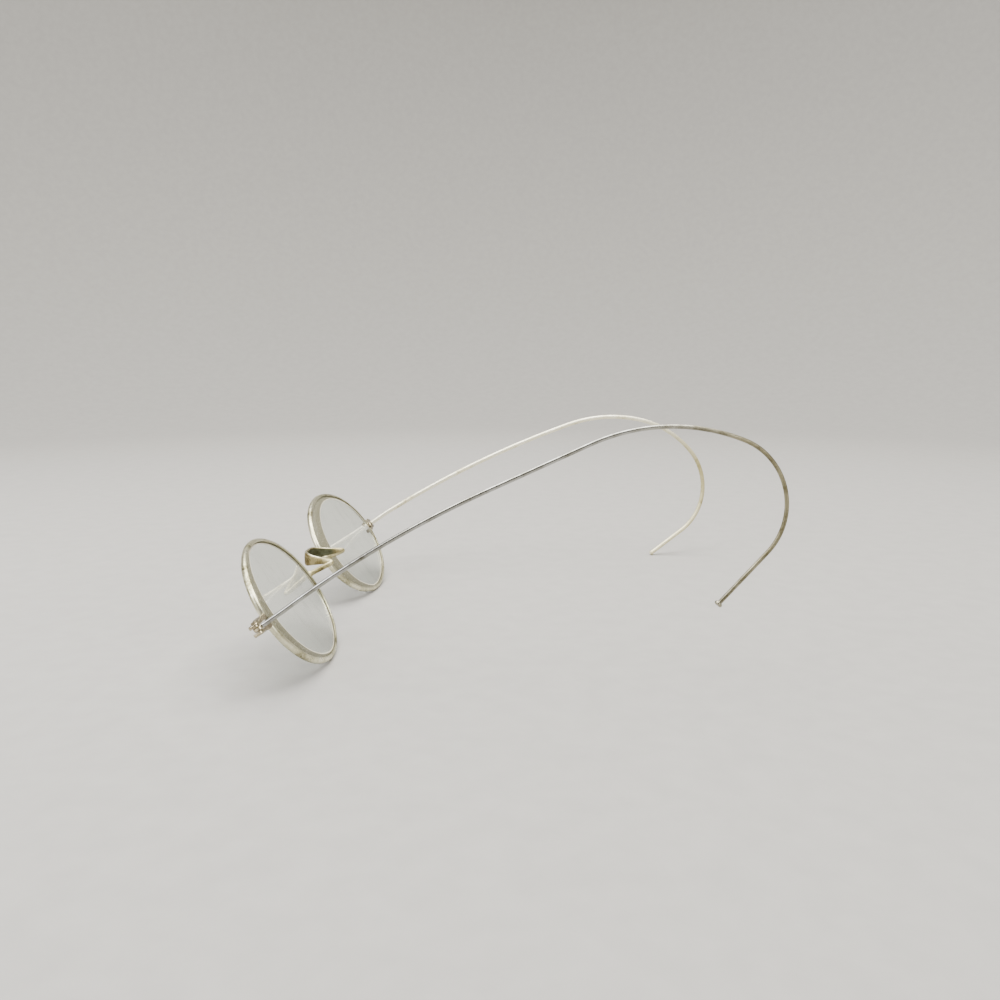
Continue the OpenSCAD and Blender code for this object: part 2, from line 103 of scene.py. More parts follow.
def skin(name, rings, loop=False):
    """Closed surface over rings[i, k], point k of section i: quads join neighbours, and the
    first and last sections are closed with a fan, or to each other when loop is true."""
    rows, sides, _ = rings.shape
    spans = rows if loop else rows - 1
    i = np.arange(spans)[:, None] * np.ones(sides, int)
    k = np.arange(sides)[None, :] * np.ones((spans, 1), int)
    i_next, k_next = (i + 1) % rows, (k + 1) % sides
    quads = np.stack([i * sides + k, i * sides + k_next,
                      i_next * sides + k_next, i_next * sides + k], -1).reshape(-1, 4)
    centres = rings.mean(1)
    along = travelled_along(np.concatenate([centres, centres[:1]]))
    halfway = rings[rows // 2]
    around = travelled_along(np.concatenate([halfway, halfway[:1]]))
    quad_uv = np.stack([np.stack([along[i], around[k]], -1),
                        np.stack([along[i], around[k + 1]], -1),
                        np.stack([along[i + 1], around[k + 1]], -1),
                        np.stack([along[i + 1], around[k]], -1)], -2).reshape(-1, 4, 2)
    points = rings.reshape(-1, 3)
    triangles = np.zeros((0, 3), int)
    triangle_uv = np.zeros((0, 3, 2))
    if not loop:
        side = np.arange(sides)
        points = np.concatenate([points, centres[:1], centres[-1:]])
        hub = rows * sides
        last = (rows - 1) * sides
        first_fan = np.stack([np.full(sides, hub), (side + 1) % sides, side], -1)
        last_fan = np.stack([np.full(sides, hub + 1), last + side, last + (side + 1) % sides], -1)
        triangles = np.concatenate([first_fan, last_fan])
        half = around[-1] / 2
        fan_uv = np.stack([np.stack([np.full(sides, -hub_before), np.full(sides, half)], -1),
                           np.stack([np.zeros(sides), around[:-1]], -1),
                           np.stack([np.zeros(sides), around[1:]], -1)], -2)
        triangle_uv = np.concatenate([fan_uv, fan_uv])
    # Outward faces enclose a positive volume: the sum of a . (b x c) over the faces
    a, b, c, d = (points[quads[:, n]] for n in range(4))
    volume = (a * np.cross(b, c)).sum() + (a * np.cross(c, d)).sum()
    if len(triangles):
        a, b, c = (points[triangles[:, n]] for n in range(3))
        volume += (a * np.cross(b, c)).sum()
    if volume < 0:
        quads, quad_uv = quads[:, ::-1], quad_uv[:, ::-1]
        triangles, triangle_uv = triangles[:, ::-1], triangle_uv[:, ::-1]
    mesh = bpy.data.meshes.new(name)
    mesh.from_pydata(placed(points).tolist(), [], quads.tolist() + triangles.tolist())
    uv = np.concatenate([quad_uv.reshape(-1), triangle_uv.reshape(-1)])
    mesh.uv_layers.new(name="Millimetres").data.foreach_set("uv", uv.astype(np.float32))
    mesh.shade_smooth()
    mesh.set_sharp_from_angle(angle=edge_angle)
    mesh.validate()
    piece = bpy.data.objects.new(name, mesh)
    bpy.context.scene.collection.objects.link(piece)
    return piece


def fit_out(piece, material, body, slot, *nodes):
    """Gives a piece its finish, the body it rides on, and the CAD nodes that it stands for."""
    piece.data.materials.append(material)
    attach(piece, body)
    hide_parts(*nodes)
    print(piece.name, len(piece.data.polygons), "faces")
    return piece


# %% [markdown]
# ## Finishes
# The frame is nickel silver, a copper alloy that is pale and warm when new and goes olive
# brown where nobody touches it: worn bright on the rims and the right temple, rubbed on the
# bridge, whose saddle also has a painted highlight on its upper edge and painted shade on its
# inner face, and tarnished at the joints. The left temple is a steel wire, cooler and
# smoother, and the screws are darkened steel. The lenses are crown glass with a ground edge,
# which has a painted highlight along its back corner.
# A picture of old metal wrapped round the wire would stretch at each bend, so the finishes
# are built from noise: some of it on object coordinates, for tarnish that ignores the shape,
# and some on the millimetre UV map, for the die lines left by drawing the wire.

# %% Helpers for finishes
def srgb(hex_code):
    """An sRGB hex colour as linear RGBA."""
    channels = [int(hex_code[n:n + 2], 16) / 255 for n in (1, 3, 5)]
    linear = [c / 12.92 if c <= 0.04045 else ((c + 0.055) / 1.055) ** 2.4 for c in channels]
    return (*linear, 1.0)


def add(material, kind, links=None, **settings):
    """Adds one node: a link's value is a socket to join or a number to set."""
    tree = material.node_tree
    node = tree.nodes.new(kind)
    for key, value in settings.items():
        setattr(node, key, value)
    for key, value in (links or {}).items():
        if isinstance(value, bpy.types.NodeSocket):
            tree.links.new(value, node.inputs[key])
        else:
            node.inputs[key].default_value = value
    return node


def ramp(material, factor, stops):
    """A colour ramp through stops of (place, hex colour)."""
    node = add(material, "ShaderNodeValToRGB", {"Fac": factor})
    elements = node.color_ramp.elements
    while len(elements) < len(stops):
        elements.new(0.5)
    for element, (place, colour) in zip(elements, stops):
        element.position = place
        element.color = srgb(colour)
    return node.outputs["Color"]


def blank(name):
    """A new material with an empty node tree."""
    material = bpy.data.materials.new(name)
    material.use_nodes = True
    material.node_tree.nodes.clear()
    return material


def finish_with(material, shader):
    """Joins a shader to a new material output."""
    add(material, "ShaderNodeOutputMaterial", {"Surface": shader.outputs["BSDF"]})
    return material


# %% [markdown]
# ## Old metal
# One recipe serves every metal here, because they differ in colour and in how far they have
# tarnished and not in how they were made. Broad noise, about 4 mm across, says where the metal
# is dull. Fine noise, about 0.4 mm, breaks its edge up into specks. Noise stretched fourteen
# times along the wire gives die lines, drawn coarser than real ones so that they show. All
# three reach the roughness as well as the colour, since worn metal is bright and smooth where
# it is handled and rough where it is not.

# %% Worn metal
broad_mm, speck_mm = 4.0, 0.4  # size of the dull patches and of the specks
die_lines = (0.35, 5.0, 1.0)   # noise per millimetre along the wire and round it
speck_share = 0.45             # weight of the specks beside the patches
line_share = 0.6               # weight of the die lines beside the specks, in the relief
relief_mm = 0.03               # height of the relief, here and on the lens edges
handled_mm = 160.0             # the first length of a wire, over which its handling is laid
dull_tint = 0.6                # where the wear and light ramp is this dark, roughness grows the most
dull_rough = 0.32              # and it grows by this much


def worn_metal(name, stops, smooth, rough, tarnish, lines, wear_and_light_ramp=None, painted=None):
    """Metal whose colour runs through stops, and whose roughness goes from smooth to rough, as
    tarnish builds up. Where wear_and_light_ramp is given, the colour is also multiplied by that
    ramp, over the start of the wire or, where painted names an attribute, over that attribute.
    That ramp holds wear, and on the bridge also a painted highlight and painted shade."""
    m = blank(name)
    here = add(m, "ShaderNodeTexCoord").outputs["Object"]
    wire = add(m, "ShaderNodeUVMap", uv_map="Millimetres").outputs["UV"]
    broad = add(m, "ShaderNodeTexNoise", {"Vector": here, "Scale": 1 / (broad_mm * MM),
                                          "Detail": 3.0, "Roughness": 0.55})
    specks = add(m, "ShaderNodeTexNoise", {"Vector": here, "Scale": 1 / (speck_mm * MM),
                                           "Detail": 4.0, "Roughness": 0.65})
    stretched = add(m, "ShaderNodeMapping", {"Vector": wire, "Scale": die_lines})
    drawn = add(m, "ShaderNodeTexNoise", {"Vector": stretched.outputs["Vector"], "Scale": 1.0,
                                          "Detail": 3.0, "Roughness": 0.6})
    mixed = add(m, "ShaderNodeMath", {0: specks.outputs["Fac"], 1: speck_share,
                                      2: broad.outputs["Fac"]}, operation="MULTIPLY_ADD")
    dull = add(m, "ShaderNodeMapRange", {"Value": mixed.outputs["Value"],
                                         "From Min": 0.95 - tarnish,
                                         "From Max": 1.15 - tarnish * 0.5})
    streaked = add(m, "ShaderNodeMath", {0: drawn.outputs["Fac"], 1: lines,
                                         2: dull.outputs["Result"]}, operation="MULTIPLY_ADD")
    shade = add(m, "ShaderNodeMapRange", {"Value": streaked.outputs["Value"],
                                          "From Min": lines * 0.35,
                                          "From Max": 1.0 + lines * 0.5})
    colour = ramp(m, shade.outputs["Result"], stops)
    if wear_and_light_ramp:
        if painted:
            share = add(m, "ShaderNodeAttribute", attribute_name=painted).outputs["Fac"]
        else:
            travelled = add(m, "ShaderNodeSeparateXYZ", {"Vector": wire}).outputs["X"]
            share = add(m, "ShaderNodeMath", {0: travelled, 1: handled_mm},
                        operation="DIVIDE").outputs["Value"]
        wear_and_light_colour = ramp(m, share, wear_and_light_ramp)
        colour = add(m, "ShaderNodeMix", {0: 1.0, 6: colour, 7: wear_and_light_colour}, data_type="RGBA",
                     blend_type="MULTIPLY").outputs[2]
    sheen = add(m, "ShaderNodeMapRange", {"Value": shade.outputs["Result"], "To Min": smooth,
                                          "To Max": rough}).outputs["Result"]
    if wear_and_light_ramp:
        dulled = add(m, "ShaderNodeMapRange", {"Value": wear_and_light_colour, "From Min": dull_tint,
                                               "From Max": 1.0, "To Min": dull_rough,
                                               "To Max": 0.0})
        sheen = add(m, "ShaderNodeMath", {0: sheen, 1: dulled.outputs["Result"]},
                    operation="ADD").outputs["Value"]
    fine = add(m, "ShaderNodeMath", {0: drawn.outputs["Fac"], 1: line_share,
                                     2: specks.outputs["Fac"]}, operation="MULTIPLY_ADD")
    relief = add(m, "ShaderNodeBump", {"Height": fine.outputs["Value"], "Strength": 0.12,
                                       "Distance": relief_mm * MM})
    metal = add(m, "ShaderNodeBsdfPrincipled", {"Base Color": colour, "Metallic": 1.0,
                                                "Roughness": sheen,
                                                "Normal": relief.outputs["Normal"]})
    return finish_with(m, metal)


# Nickel silver, drawn half round and handled for years: a soft warm shine with dull patches
nickel_silver = worn_metal(
    "worn_nickel_silver",
    [(0.0, "#E6E2C9"), (0.5, "#CAC6A7"), (0.85, "#8E896A"), (1.0, "#545038")],
    smooth=0.26, rough=0.42, tarnish=0.38, lines=0.25)
# Nickel silver, filed, brazed and seldom touched: a brown film, bright on its corners
tarnished_nickel = worn_metal(
    "tarnished_nickel_silver",
    [(0.0, "#D9CFB3"), (0.4, "#A99D80"), (0.8, "#685B47"), (1.0, "#382F24")],
    smooth=0.18, rough=0.36, tarnish=0.46, lines=0.25)
# Nickel silver, hammered and rubbed. The saddle has a painted highlight on its upper edge
# and painted shade, dull green, on its inner face
bridge_nickel = worn_metal(
    "rubbed_nickel_silver_painted_light",
    [(0.0, "#F4F1DE"), (0.4, "#D6D1B6"), (0.75, "#978D6C"), (1.0, "#4E4935")],
    smooth=0.2, rough=0.38, tarnish=0.42, lines=0.25, painted="RubbedAndPaintedLight",
    wear_and_light_ramp=[(0.0, "#6C7164"), (0.55, "#BAB092"), (0.85, "#E4E0CA"), (1.0, "#FFFFFF")])
# Nickel silver wire, often held: pale and nearly matt, warmer where it hooks behind the ear
pale_nickel = worn_metal(
    "handled_nickel_silver_wire",
    [(0.0, "#F6F2DE"), (0.6, "#EAE5CA"), (0.9, "#BDB593"), (1.0, "#857B58")],
    smooth=0.42, rough=0.6, tarnish=0.32, lines=0.25,
    wear_and_light_ramp=[(0.0, "#FFFFFF"), (0.6, "#FFFFFF"), (0.76, "#D2CDB2"), (0.97, "#FBF9EE")])
# Steel wire, drawn and polished: a narrow cool highlight, gone brown over the hook
steel_wire = worn_metal(
    "polished_steel_wire",
    [(0.0, "#B0B0AC"), (0.5, "#93928B"), (0.85, "#726F63"), (1.0, "#4E4A3F")],
    smooth=0.12, rough=0.28, tarnish=0.34, lines=0.2,
    wear_and_light_ramp=[(0.0, "#FFFFFF"), (0.5, "#FFFFFF"), (0.66, "#D9D0B0"), (0.8, "#D6CDAB"),
              (0.93, "#FFF8E2")])
# Steel, turned and slotted, darkened by age: a low and broken shine
dark_steel = worn_metal(
    "tarnished_steel_screw",
    [(0.0, "#CBC4B0"), (0.4, "#A99F87"), (0.8, "#766B56"), (1.0, "#4B4234")],
    smooth=0.28, rough=0.5, tarnish=0.5, lines=0.35)

# %% [markdown]
# ## Crown glass
# Lens glass of this age is clear with a faint green cast and is never quite clean. The
# Principled shader bends light by itself once transmission is 1 and the index is that of crown
# glass, 1.52. Wiping marks are long fine noise in the roughness, and not in the bump, which
# would make clear glass look pebbled. A few deeper scratches scatter light out of its way, so
# they darken what is seen through them, and thin steps in the tint stand for them. The edge is
# ground and never polished: it is frosted, and metal dust and old dirt have made it olive, so
# it has a finish of its own. A painted highlight, a cream line, runs along its back corner.

# %% Glass
crown_index = 1.52
clear, scratched, scuffed = "#EFF3ED", "#D2D6CF", "#DADED7"
wipes_per_m = (60.0, 600.0, 90.0)      # marks some 17 mm long and under 2 mm wide
scratches_per_m = (520.0, 45.0, 32.0)  # some 30 mm long and 2 mm apart, coarser than real ones


def crown_glass(name):
    """Clear glass with faint wiping marks and thin scratches."""
    m = blank(name)
    here = add(m, "ShaderNodeTexCoord").outputs["Object"]
    swept = add(m, "ShaderNodeMapping", {"Vector": here, "Rotation": (0.5, 0.2, 0.3),
                                         "Scale": wipes_per_m})
    wipes = add(m, "ShaderNodeTexNoise", {"Vector": swept.outputs["Vector"], "Scale": 1.0,
                                          "Detail": 4.0, "Roughness": 0.7})
    marks = add(m, "ShaderNodeMapRange", {"Value": wipes.outputs["Fac"], "From Min": 0.58,
                                          "From Max": 0.8, "To Min": 0.01, "To Max": 0.08})
    lying = add(m, "ShaderNodeMapping", {"Vector": here, "Rotation": (0.35, 0.1, 0.45),
                                         "Scale": scratches_per_m})
    lines = add(m, "ShaderNodeTexNoise", {"Vector": lying.outputs["Vector"], "Scale": 1.0,
                                          "Detail": 1.0, "Roughness": 0.4})
    tint = ramp(m, lines.outputs["Fac"],
                [(0.0, clear), (0.56, clear), (0.575, scratched), (0.59, clear),
                 (0.65, clear), (0.665, scuffed), (0.68, clear)])
    glass = add(m, "ShaderNodeBsdfPrincipled", {"Base Color": tint, "IOR": crown_index,
                                                "Transmission Weight": 1.0,
                                                "Roughness": marks.outputs["Result"]})
    return finish_with(m, glass)


def frosted_edge(name):
    """Ground glass: part of the light passes, the rest is scattered by a dirty surface, and a
    painted highlight makes it palest where the Glint attribute is 1."""
    m = blank(name)
    here = add(m, "ShaderNodeTexCoord").outputs["Object"]
    grit_mm = 0.3
    grit = add(m, "ShaderNodeTexNoise", {"Vector": here, "Scale": 1 / (grit_mm * MM),
                                         "Detail": 3.0})
    glint = add(m, "ShaderNodeAttribute", attribute_name="Glint").outputs["Fac"]
    place = add(m, "ShaderNodeMath", {0: glint, 1: 0.5, 2: grit.outputs["Fac"]},
                operation="MULTIPLY_ADD")
    # The cream stop is the painted highlight, reached where Glint is 1
    tone = ramp(m, place.outputs["Value"], [(0.3, "#625F48"), (0.6, "#7A765E"),
                                            (0.8, "#E6E0CC")])
    relief = add(m, "ShaderNodeBump", {"Height": grit.outputs["Fac"], "Strength": 0.2,
                                       "Distance": relief_mm * MM})
    edge = add(m, "ShaderNodeBsdfPrincipled", {"Base Color": tone, "IOR": crown_index,
                                               "Roughness": 0.45, "Transmission Weight": 0.3,
                                               "Normal": relief.outputs["Normal"]})
    return finish_with(m, edge)


lens_glass = crown_glass("crown_glass")
lens_edge = frosted_edge("ground_lens_edge")

# %% [markdown]
# ## The oval
# The rims are ovals drawn with a compass: eight arcs of three radii that meet without a kink.
# An ellipse would look much the same, but a line drawn a fixed distance inside an ellipse is
# no longer one, and the wire, its groove and the edge of the lens all need such lines. With
# arcs they only need smaller radii.

# %% The oval's arcs
rim_half_w = 22.4
rim_half_h = 15.5
rim_wrap = math.radians(3.9)   # each rim turns back this much towards its temple
lens_spacing = 62.0
end_arc = math.radians(36.0)   # angles from the long axis at which one arc follows another
crown_arc = math.radians(66.0)


def oval_arcs(half_w, half_h):
    """Rows of centre x, centre z, radius, first angle, sweep. The shoulder radius is that of
    the ellipse between the two changes of arc; the other two close the outline."""
    t = (end_arc + crown_arc) / 2
    shoulder_r = (half_w * half_h) ** 2 / ((half_w * math.cos(t)) ** 2
                                           + (half_h * math.sin(t)) ** 2) ** 1.5
    system = np.array([[math.cos(end_arc) - 1, -math.cos(crown_arc)],
                       [math.sin(end_arc), 1 - math.sin(crown_arc)]])
    reach = np.array([-half_w - shoulder_r * (math.cos(crown_arc) - math.cos(end_arc)),
                      half_h - shoulder_r * (math.sin(crown_arc) - math.sin(end_arc))])
    end_r, crown_r = np.linalg.solve(system, reach)
    x = half_w - end_r + (end_r - shoulder_r) * math.cos(end_arc)
    z = (end_r - shoulder_r) * math.sin(end_arc)
    side = crown_arc - end_arc
    top = math.pi - 2 * crown_arc
    return np.array([
        [half_w - end_r, 0, end_r, -end_arc, 2 * end_arc],
        [x, z, shoulder_r, end_arc, side],
        [0, half_h - crown_r, crown_r, crown_arc, top],
        [-x, z, shoulder_r, math.pi - crown_arc, side],
        [end_r - half_w, 0, end_r, math.pi - end_arc, 2 * end_arc],
        [-x, -z, shoulder_r, math.pi + end_arc, side],
        [0, crown_r - half_h, crown_r, math.pi + crown_arc, top],
        [x, -z, shoulder_r, 2 * math.pi - crown_arc, side]])


arcs = oval_arcs(rim_half_w, rim_half_h)


def walk(per_arc):
    """Steps round the oval, so many in each arc, from the start of the end arc: rows of
    centre x, centre z, radius, angle."""
    steps = np.arange(per_arc) / per_arc
    angle = arcs[:, 3, None] + arcs[:, 4, None] * steps
    return np.concatenate([np.repeat(arcs[:, :3], per_arc, axis=0), angle.reshape(-1, 1)], 1)


def off_oval(way, out, ahead):
    """Points at each step of the way, moved out by out and forward by ahead: the centre plus
    (radius + out) along the normal. Gives lens coordinates x, z, ahead."""
    r = way[:, 2, None] + out
    x = way[:, 0, None] + r * np.cos(way[:, 3, None])
    z = way[:, 1, None] + r * np.sin(way[:, 3, None])
    return np.stack([x, z, ahead + 0 * x], -1)


def at_eye(side, local):
    """Lens coordinates to the worn frame: turned by the wrap, moved out to the eye, and
    mirrored on the right."""
    x, z, ahead = local[..., 0], local[..., 1], local[..., 2]
    worn_x = lens_spacing / 2 + x * math.cos(rim_wrap) + ahead * math.sin(rim_wrap)
    worn_y = x * math.sin(rim_wrap) - ahead * math.cos(rim_wrap)
    return np.stack([mirror[side] * worn_x, worn_y, z], -1)


print("radii, mm:", np.round(arcs[:3, 2], 2))

# %% [markdown]
# ## Rims
# Each eyewire is half-round wire with a groove rolled into its flat side, bent to the oval
# and cut open at its outer end so that the joint's screw can draw it shut on the lens. A curve
# with a bevel would give the round wire but not the groove, so the section is written out and
# carried round the oval, leaving the gap at the joint.

# %% Eyewire section and rims
rim_wall = 1.0                 # thickness, from the lens edge outwards
rim_depth = 1.5                # front to back
groove = 0.4                   # depth, and half of its width
wire_d = {"left": 0.95, "right": 1.3}
slot_play = 0.05               # above and below a temple's wire in its slot
tube_r = rim_depth / 2


def eyewire_section():
    """Half-round outside, then the flat with its groove. Rows of out, ahead, from the rim's
    outer edge."""
    flat = math.acos((tube_r - rim_wall) / tube_r)
    turn = np.linspace(-flat, flat, 25)
    round_side = np.stack([tube_r * np.cos(turn) - tube_r, tube_r * np.sin(turn)], -1)
    ease = 0.06                # the groove's corners are rounded by this much
    inner = np.array([[-rim_wall, groove + ease], [-rim_wall + ease, groove - ease / 2],
                      [groove - rim_wall - ease, ease], [groove - rim_wall, 0],
                      [groove - rim_wall - ease, -ease], [-rim_wall + ease, ease / 2 - groove],
                      [-rim_wall, -groove - ease]])
    return np.concatenate([round_side, inner])


def rim(side):
    """The eyewire section carried round the oval from above the joint's slot to below it. The
    slot cuts the outer end's arc in two, and the seven other arcs are as they come."""
    per_arc = 40
    slot = wire_d[side] + 2 * slot_play
    end_r = arcs[0, 2] - tube_r
    start, stop = (math.asin((joint_z[side] + edge * slot / 2) / end_r) for edge in (1, -1))
    above_slot = np.linspace(start, end_arc, 24)[:-1]
    below_slot = np.linspace(-end_arc, stop, 24)
    first, last = (np.concatenate([np.tile(arcs[0, :3], (len(a), 1)), a[:, None]], 1)
                   for a in (above_slot, below_slot))
    way = np.concatenate([first, walk(per_arc)[per_arc:], last])
    section = eyewire_section()
    return skin(side + "_eyewire", at_eye(side, off_oval(way, section[:, 0], section[:, 1])))


for side in mirror:
    fit_out(rim(side), nickel_silver, "front", "frame", side + "_rim")

# %% [markdown]
# ## Lenses
# A lens blank is edged to the oval with a V bevel that sits in the groove. Its front is a
# slight dome and its back is ground hollow, and the hollow is off centre, as a prescription
# asks: the left glass is thickest at its outer end and the right one near the nose. There it
# stands proud of the rim, and its back edge has been ground off at a slant. On the thin side
# it leaves the back of the groove empty, so the inside of the rim shows. Scaling one outline
# down towards the middle gives the faces, and the edge is a short profile round the same
# outline, so the glass is one closed skin and bends light properly. The faces between the
# edge's sections take the frosted finish.

# %% Lenses
lens_thick = 1.0
bulge = 0.35                   # the glass's middle stands this far ahead of its groove
lens_play = 0.05               # between the lens and its rim
chamfer = 0.1                  # on the front edge
front_r = 600.0
back_r = {"left": 400.0, "right": 230.0}
back_at = -0.02                # height of the hollow's deepest point over the groove's plane
hollow_at = {"left": np.array([-9.0, 3.0]), "right": np.array([7.0, -5.0])}
slant = 2.5                    # a slanted edge is this many times as wide as it is deep
least_slant = 0.12             # and at least this wide
wall_back = 0.42               # the slant starts at most this far behind the groove's plane
near, nearer = 0.03, 0.02      # steps between sections that only keep a corner crisp
glint_w = 0.25                 # the painted highlight, a cream line, takes this much of the hollow, past the slant
polished_from = 0.3            # and the hollow's other rings start here


def lens(side):
    """Rings from the middle of the front face out to the bevel and back to the middle of the
    rear face. Height on a face is top - R + sqrt(R^2 - x^2 - z^2) from its own middle."""
    way = walk(20)
    edge = rim_wall + lens_play
    front = lens_thick / 2 + bulge

    def outline(inward):
        """The oval drawn in by inward, which may differ from point to point, as x, z."""
        r = way[:, 2] - edge - inward
        return way[:, 0] + r * np.cos(way[:, 3]), way[:, 1] + r * np.sin(way[:, 3])

    def face(scale, top, radius, inward, middle=np.zeros(2)):
        """A ring of a face: the outline drawn in and scaled, at the height of its sphere."""
        x, z = (scale * line for line in outline(inward))
        fall = (x - middle[0]) ** 2 + (z - middle[1]) ** 2
        return np.stack([x, z, top - radius + np.sqrt(radius ** 2 - fall)], -1)

    def back(scale, inward):
        """A ring of the hollow."""
        return face(scale, back_at, back_r[side], inward, hollow_at[side])

    def wall(inward, ahead):
        """A ring of the edge, at a height of its own."""
        x, z = outline(inward)
        return np.stack([x, z, ahead + 0 * x], -1)

    scales = np.linspace(0.04, 1.0, 14)
    back_edge = back(1.0, 0.0)[:, 2]
    wall_end = np.maximum(-wall_back, back_edge + near)
    width = np.maximum(slant * (wall_end - back_edge), least_slant)
    front_edge = face(1.0, front, front_r, 0.0)[:, 2] - chamfer
    front_rings = [face(k, front, front_r, chamfer) for k in scales]
    back_rings = [back(k, width + polished_from) for k in scales[::-1]]
    corner = back(1.0, width)
    edge_rings = [wall(0.0, front_edge), wall(0.0, np.minimum(groove, front_edge - nearer)),
                  wall(-groove, 0.0), wall(0.0, np.maximum(-groove, wall_end + nearer)),
                  wall(near, wall_end - nearer / 2),
                  wall(width / 2, (corner[:, 2] + wall_end) / 2),
                  back(1.0, width - nearer), corner, back(1.0, width + glint_w)]
    rings = np.stack(front_rings + edge_rings + back_rings)
    piece = skin(side + "_lens_glass", at_eye(side, rings))
    edge_start, edge_end = len(front_rings), len(front_rings + edge_rings)
    strip = np.arange(len(piece.data.polygons)) // len(way)
    ground = (strip >= edge_start) & (strip < edge_end - 1)
    piece.data.polygons.foreach_set("material_index", ground.astype(np.int32))
    # Glint marks the painted highlight: a cream line along the back corner of the edge
    glint = np.zeros(len(piece.data.vertices), np.float32)
    glint[(edge_end - 2) * len(way):edge_end * len(way)] = 1.0
    piece.data.attributes.new("Glint", "FLOAT", "POINT").data.foreach_set("value", glint)
    return piece


for side in mirror:
    glass = fit_out(lens(side), lens_glass, "front", "lens", side + "_lens")
    glass.data.materials.append(lens_edge)

# %% [markdown]
# ## Saddle bridge
# The bridge is one wire. It leaves each rim going back to a heel, turns up and forward, and is
# hammered out flat where it crosses the nose. So the path is three straight stretches on each
# side with rounded corners, and the section goes from a circle to a wide, thin one as it nears
# the middle. At its feet it is brazed, and the flared first sections are the fillet of braze.
# The round wire is rubbed, and the hammered saddle less so. A painted highlight makes the
# saddle's upper edge bright, and painted shade makes its inner face dull green. A picture could
# not be laid on such a small twist, so this level of rubbing and painted light is written at
# the points of the mesh, where the section's own angle says which side a point is on.

# %% Bridge
bridge_d = 1.2                 # the wire, where it is still round
saddle_w = 3.4                 # and where it is hammered flat
saddle_t = 0.75
saddle_slope = math.radians(54.0)
foot_inward, foot_back = 0.4, 0.5      # where the wire ends, from the middle of the rim's wire
foot = np.array([lens_spacing / 2 - (rim_half_w - tube_r) * math.cos(rim_wrap) - foot_inward,
                 foot_back - rim_half_w * math.sin(rim_wrap), 0.9])
heel = np.array([6.9, 5.1, 0.0])       # corners of the path: outwards, back and up
shoulder = np.array([3.6, -1.9, 4.4])
heel_bend = 1.6                # lengths of the bends, from their corners
shoulder_bend = 3.3
flatten_over = 1.25            # the wire is flat after this many times heel to shoulder
squareness = 1.4               # added to the ellipse's power of 2 where the wire is flat
braze, braze_len = 0.45, 0.5   # the fillet at a foot: share of the wire's size, and length
shank_level = 0.85             # how far the round wire is rubbed: 0 is dull green, 1 bright
outer_drop = 0.3               # the hammered part is rubbed this much less
inner_shade = 0.55              # and its inner face is darker again by this much: painted shade
highlight_from, highlight_fade = 0.8, 0.12       # shares of half the width: where the painted highlight on the upper edge starts, its fade


def eased(share):
    """A share from 0 to 1 that starts and stops gently."""
    return share ** 2 * (3 - 2 * share)


def unit(v):
    """The vector or vectors v, divided by their lengths."""
    return v / np.linalg.norm(v, axis=-1, keepdims=True)


def rounded(a, b, c, n):
    """Quadratic curve from a to c that pulls towards the corner b."""
    t = np.linspace(0, 1, n)[:, None]
    return (1 - t) ** 2 * a + 2 * t * (1 - t) * b + t ** 2 * c


def bridge():
    """Ellipses, squared off a little where they are flat, along the wire's path. A point of
    the section is at w cos, h sin of its angle, and k says how flat the section is."""
    bend_n = 28
    rise = unit(shoulder - heel)
    heel_in = heel + unit(foot - heel) * heel_bend
    crest_in = shoulder - rise * shoulder_bend
    crest = shoulder - np.array([shoulder_bend, 0, 0])
    shank = foot + (heel_in - foot) * np.linspace(0, 1, 30)[:-1, None]
    bend = rounded(heel_in, heel, heel + rise * heel_bend, bend_n)
    climb = bend[-1] + (crest_in - bend[-1]) * np.linspace(0, 1, 14)[1:-1, None]
    half = np.concatenate([shank, bend, climb, rounded(crest_in, shoulder, crest, 32)])
    path = np.concatenate([half, (half * [-1, 1, 1])[::-1]])
    tangent = unit(np.gradient(path, axis=0))
    up = np.array([0, math.cos(saddle_slope), math.sin(saddle_slope)])
    across = unit(up - tangent * (tangent @ up)[:, None])
    through = np.cross(tangent, across)
    travelled = travelled_along(path)
    from_end = np.minimum(travelled, travelled[-1] - travelled)
    past_heel = from_end > travelled[len(shank) + bend_n // 2]
    inward = (heel[0] - abs(path[:, 0])) / (heel[0] - shoulder[0])
    k = eased(np.clip(inward / flatten_over, 0, 1) * past_heel)
    flare = 1 + braze * np.exp(-(from_end / braze_len) ** 2)
    w = (bridge_d + (saddle_w - bridge_d) * k) * flare / 2
    h = (bridge_d + (saddle_t - bridge_d) * k) * flare / 2
    turn = np.linspace(0, 2 * math.pi, 40, endpoint=False)
    power = 2 + squareness * k[:, None]
    r = (abs(np.cos(turn)) ** power + abs(np.sin(turn)) ** power) ** (-1 / power)
    ring = (path[:, None] + across[:, None] * (w[:, None] * r * np.cos(turn))[..., None]
            + through[:, None] * (h[:, None] * r * np.sin(turn))[..., None])
    piece = skin("saddle_bridge", ring)
    # Painted highlight on the saddle's upper edge, painted shade on its inner face, over the
    # rubbing
    edge = np.clip((r * np.cos(turn) - highlight_from) / highlight_fade, 0, 1)
    inside = np.clip(r * np.sin(turn) / 0.5, 0, 1)
    hammered = np.clip(4 * k[:, None], 0, 1)
    rubbing_and_painted_light = shank_level - hammered * (outer_drop + inner_shade * inside)
    rubbing_and_painted_light = rubbing_and_painted_light + (1 - rubbing_and_painted_light) * edge * hammered
    level = np.append(rubbing_and_painted_light, [shank_level, shank_level]).astype(np.float32)
    piece.data.attributes.new("RubbedAndPaintedLight", "FLOAT", "POINT").data.foreach_set("value", level)
    return piece


fit_out(bridge(), bridge_nickel, "front", "frame", "bridge")

